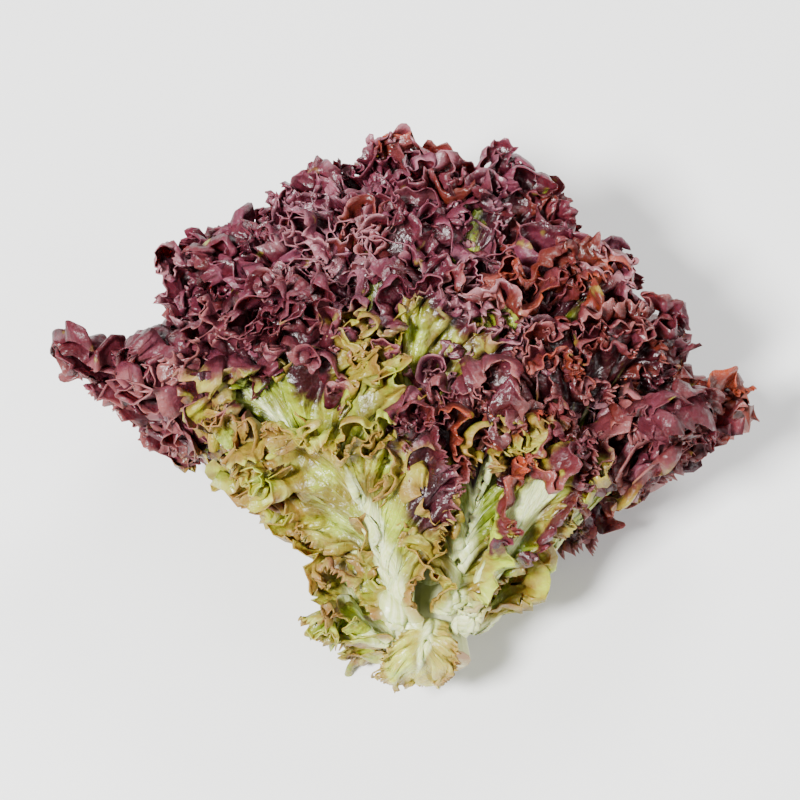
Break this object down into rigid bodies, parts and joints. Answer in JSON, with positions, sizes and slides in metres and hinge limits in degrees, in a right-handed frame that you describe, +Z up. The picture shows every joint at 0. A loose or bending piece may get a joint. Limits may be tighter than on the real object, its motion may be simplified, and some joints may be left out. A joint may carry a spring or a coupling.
{
  "type": "head of lettuce",
  "caption": "Head of curly red leaf lettuce cut from its root and lying on its side: a tapered stem with a fan of frilled leaves nested round it.",
  "frame": {"origin": "on the table, under the middle of the head", "axes": "+X across the fan of leaves, +Y from the cut stem to the crown, +Z up from the table the head lies on"},
  "size_m": [0.271, 0.2112, 0.1174],
  "materials": {
    "stem": "satin, pale green, cut end browned",
    "heart_leaf": "satin, yellow-green with a red frill",
    "inner_leaf": "satin, burgundy frill on a green base",
    "middle_leaf": "satin, burgundy frill on a green base",
    "outer_leaf": "satin, burgundy frill on a green base, pale rib",
    "base_leaf": "satin, dull green with a tan edge"
  },
  "bodies": {
    "root": {"stem_core": "stem", "heart_leaf_1": "heart_leaf", "heart_leaf_2": "heart_leaf", "heart_leaf_3": "heart_leaf", "heart_leaf_4": "heart_leaf", "heart_leaf_5": "heart_leaf", "inner_leaf_1": "inner_leaf", "inner_leaf_2": "inner_leaf", "inner_leaf_3": "inner_leaf", "inner_leaf_4": "inner_leaf", "inner_leaf_5": "inner_leaf", "inner_leaf_6": "inner_leaf", "inner_leaf_7": "inner_leaf", "middle_leaf_1": "middle_leaf", "middle_leaf_2": "middle_leaf", "middle_leaf_3": "middle_leaf", "middle_leaf_4": "middle_leaf", "middle_leaf_5": "middle_leaf", "middle_leaf_6": "middle_leaf", "middle_leaf_7": "middle_leaf", "middle_leaf_8": "middle_leaf", "outer_leaf_1": "outer_leaf", "outer_leaf_2": "outer_leaf", "outer_leaf_3": "outer_leaf", "outer_leaf_4": "outer_leaf", "outer_leaf_5": "outer_leaf", "outer_leaf_6": "outer_leaf", "outer_leaf_7": "outer_leaf", "outer_leaf_8": "outer_leaf", "base_leaf_1": "base_leaf", "base_leaf_2": "base_leaf", "base_leaf_3": "base_leaf", "base_leaf_4": "base_leaf"}
  },
  "joints": []
}
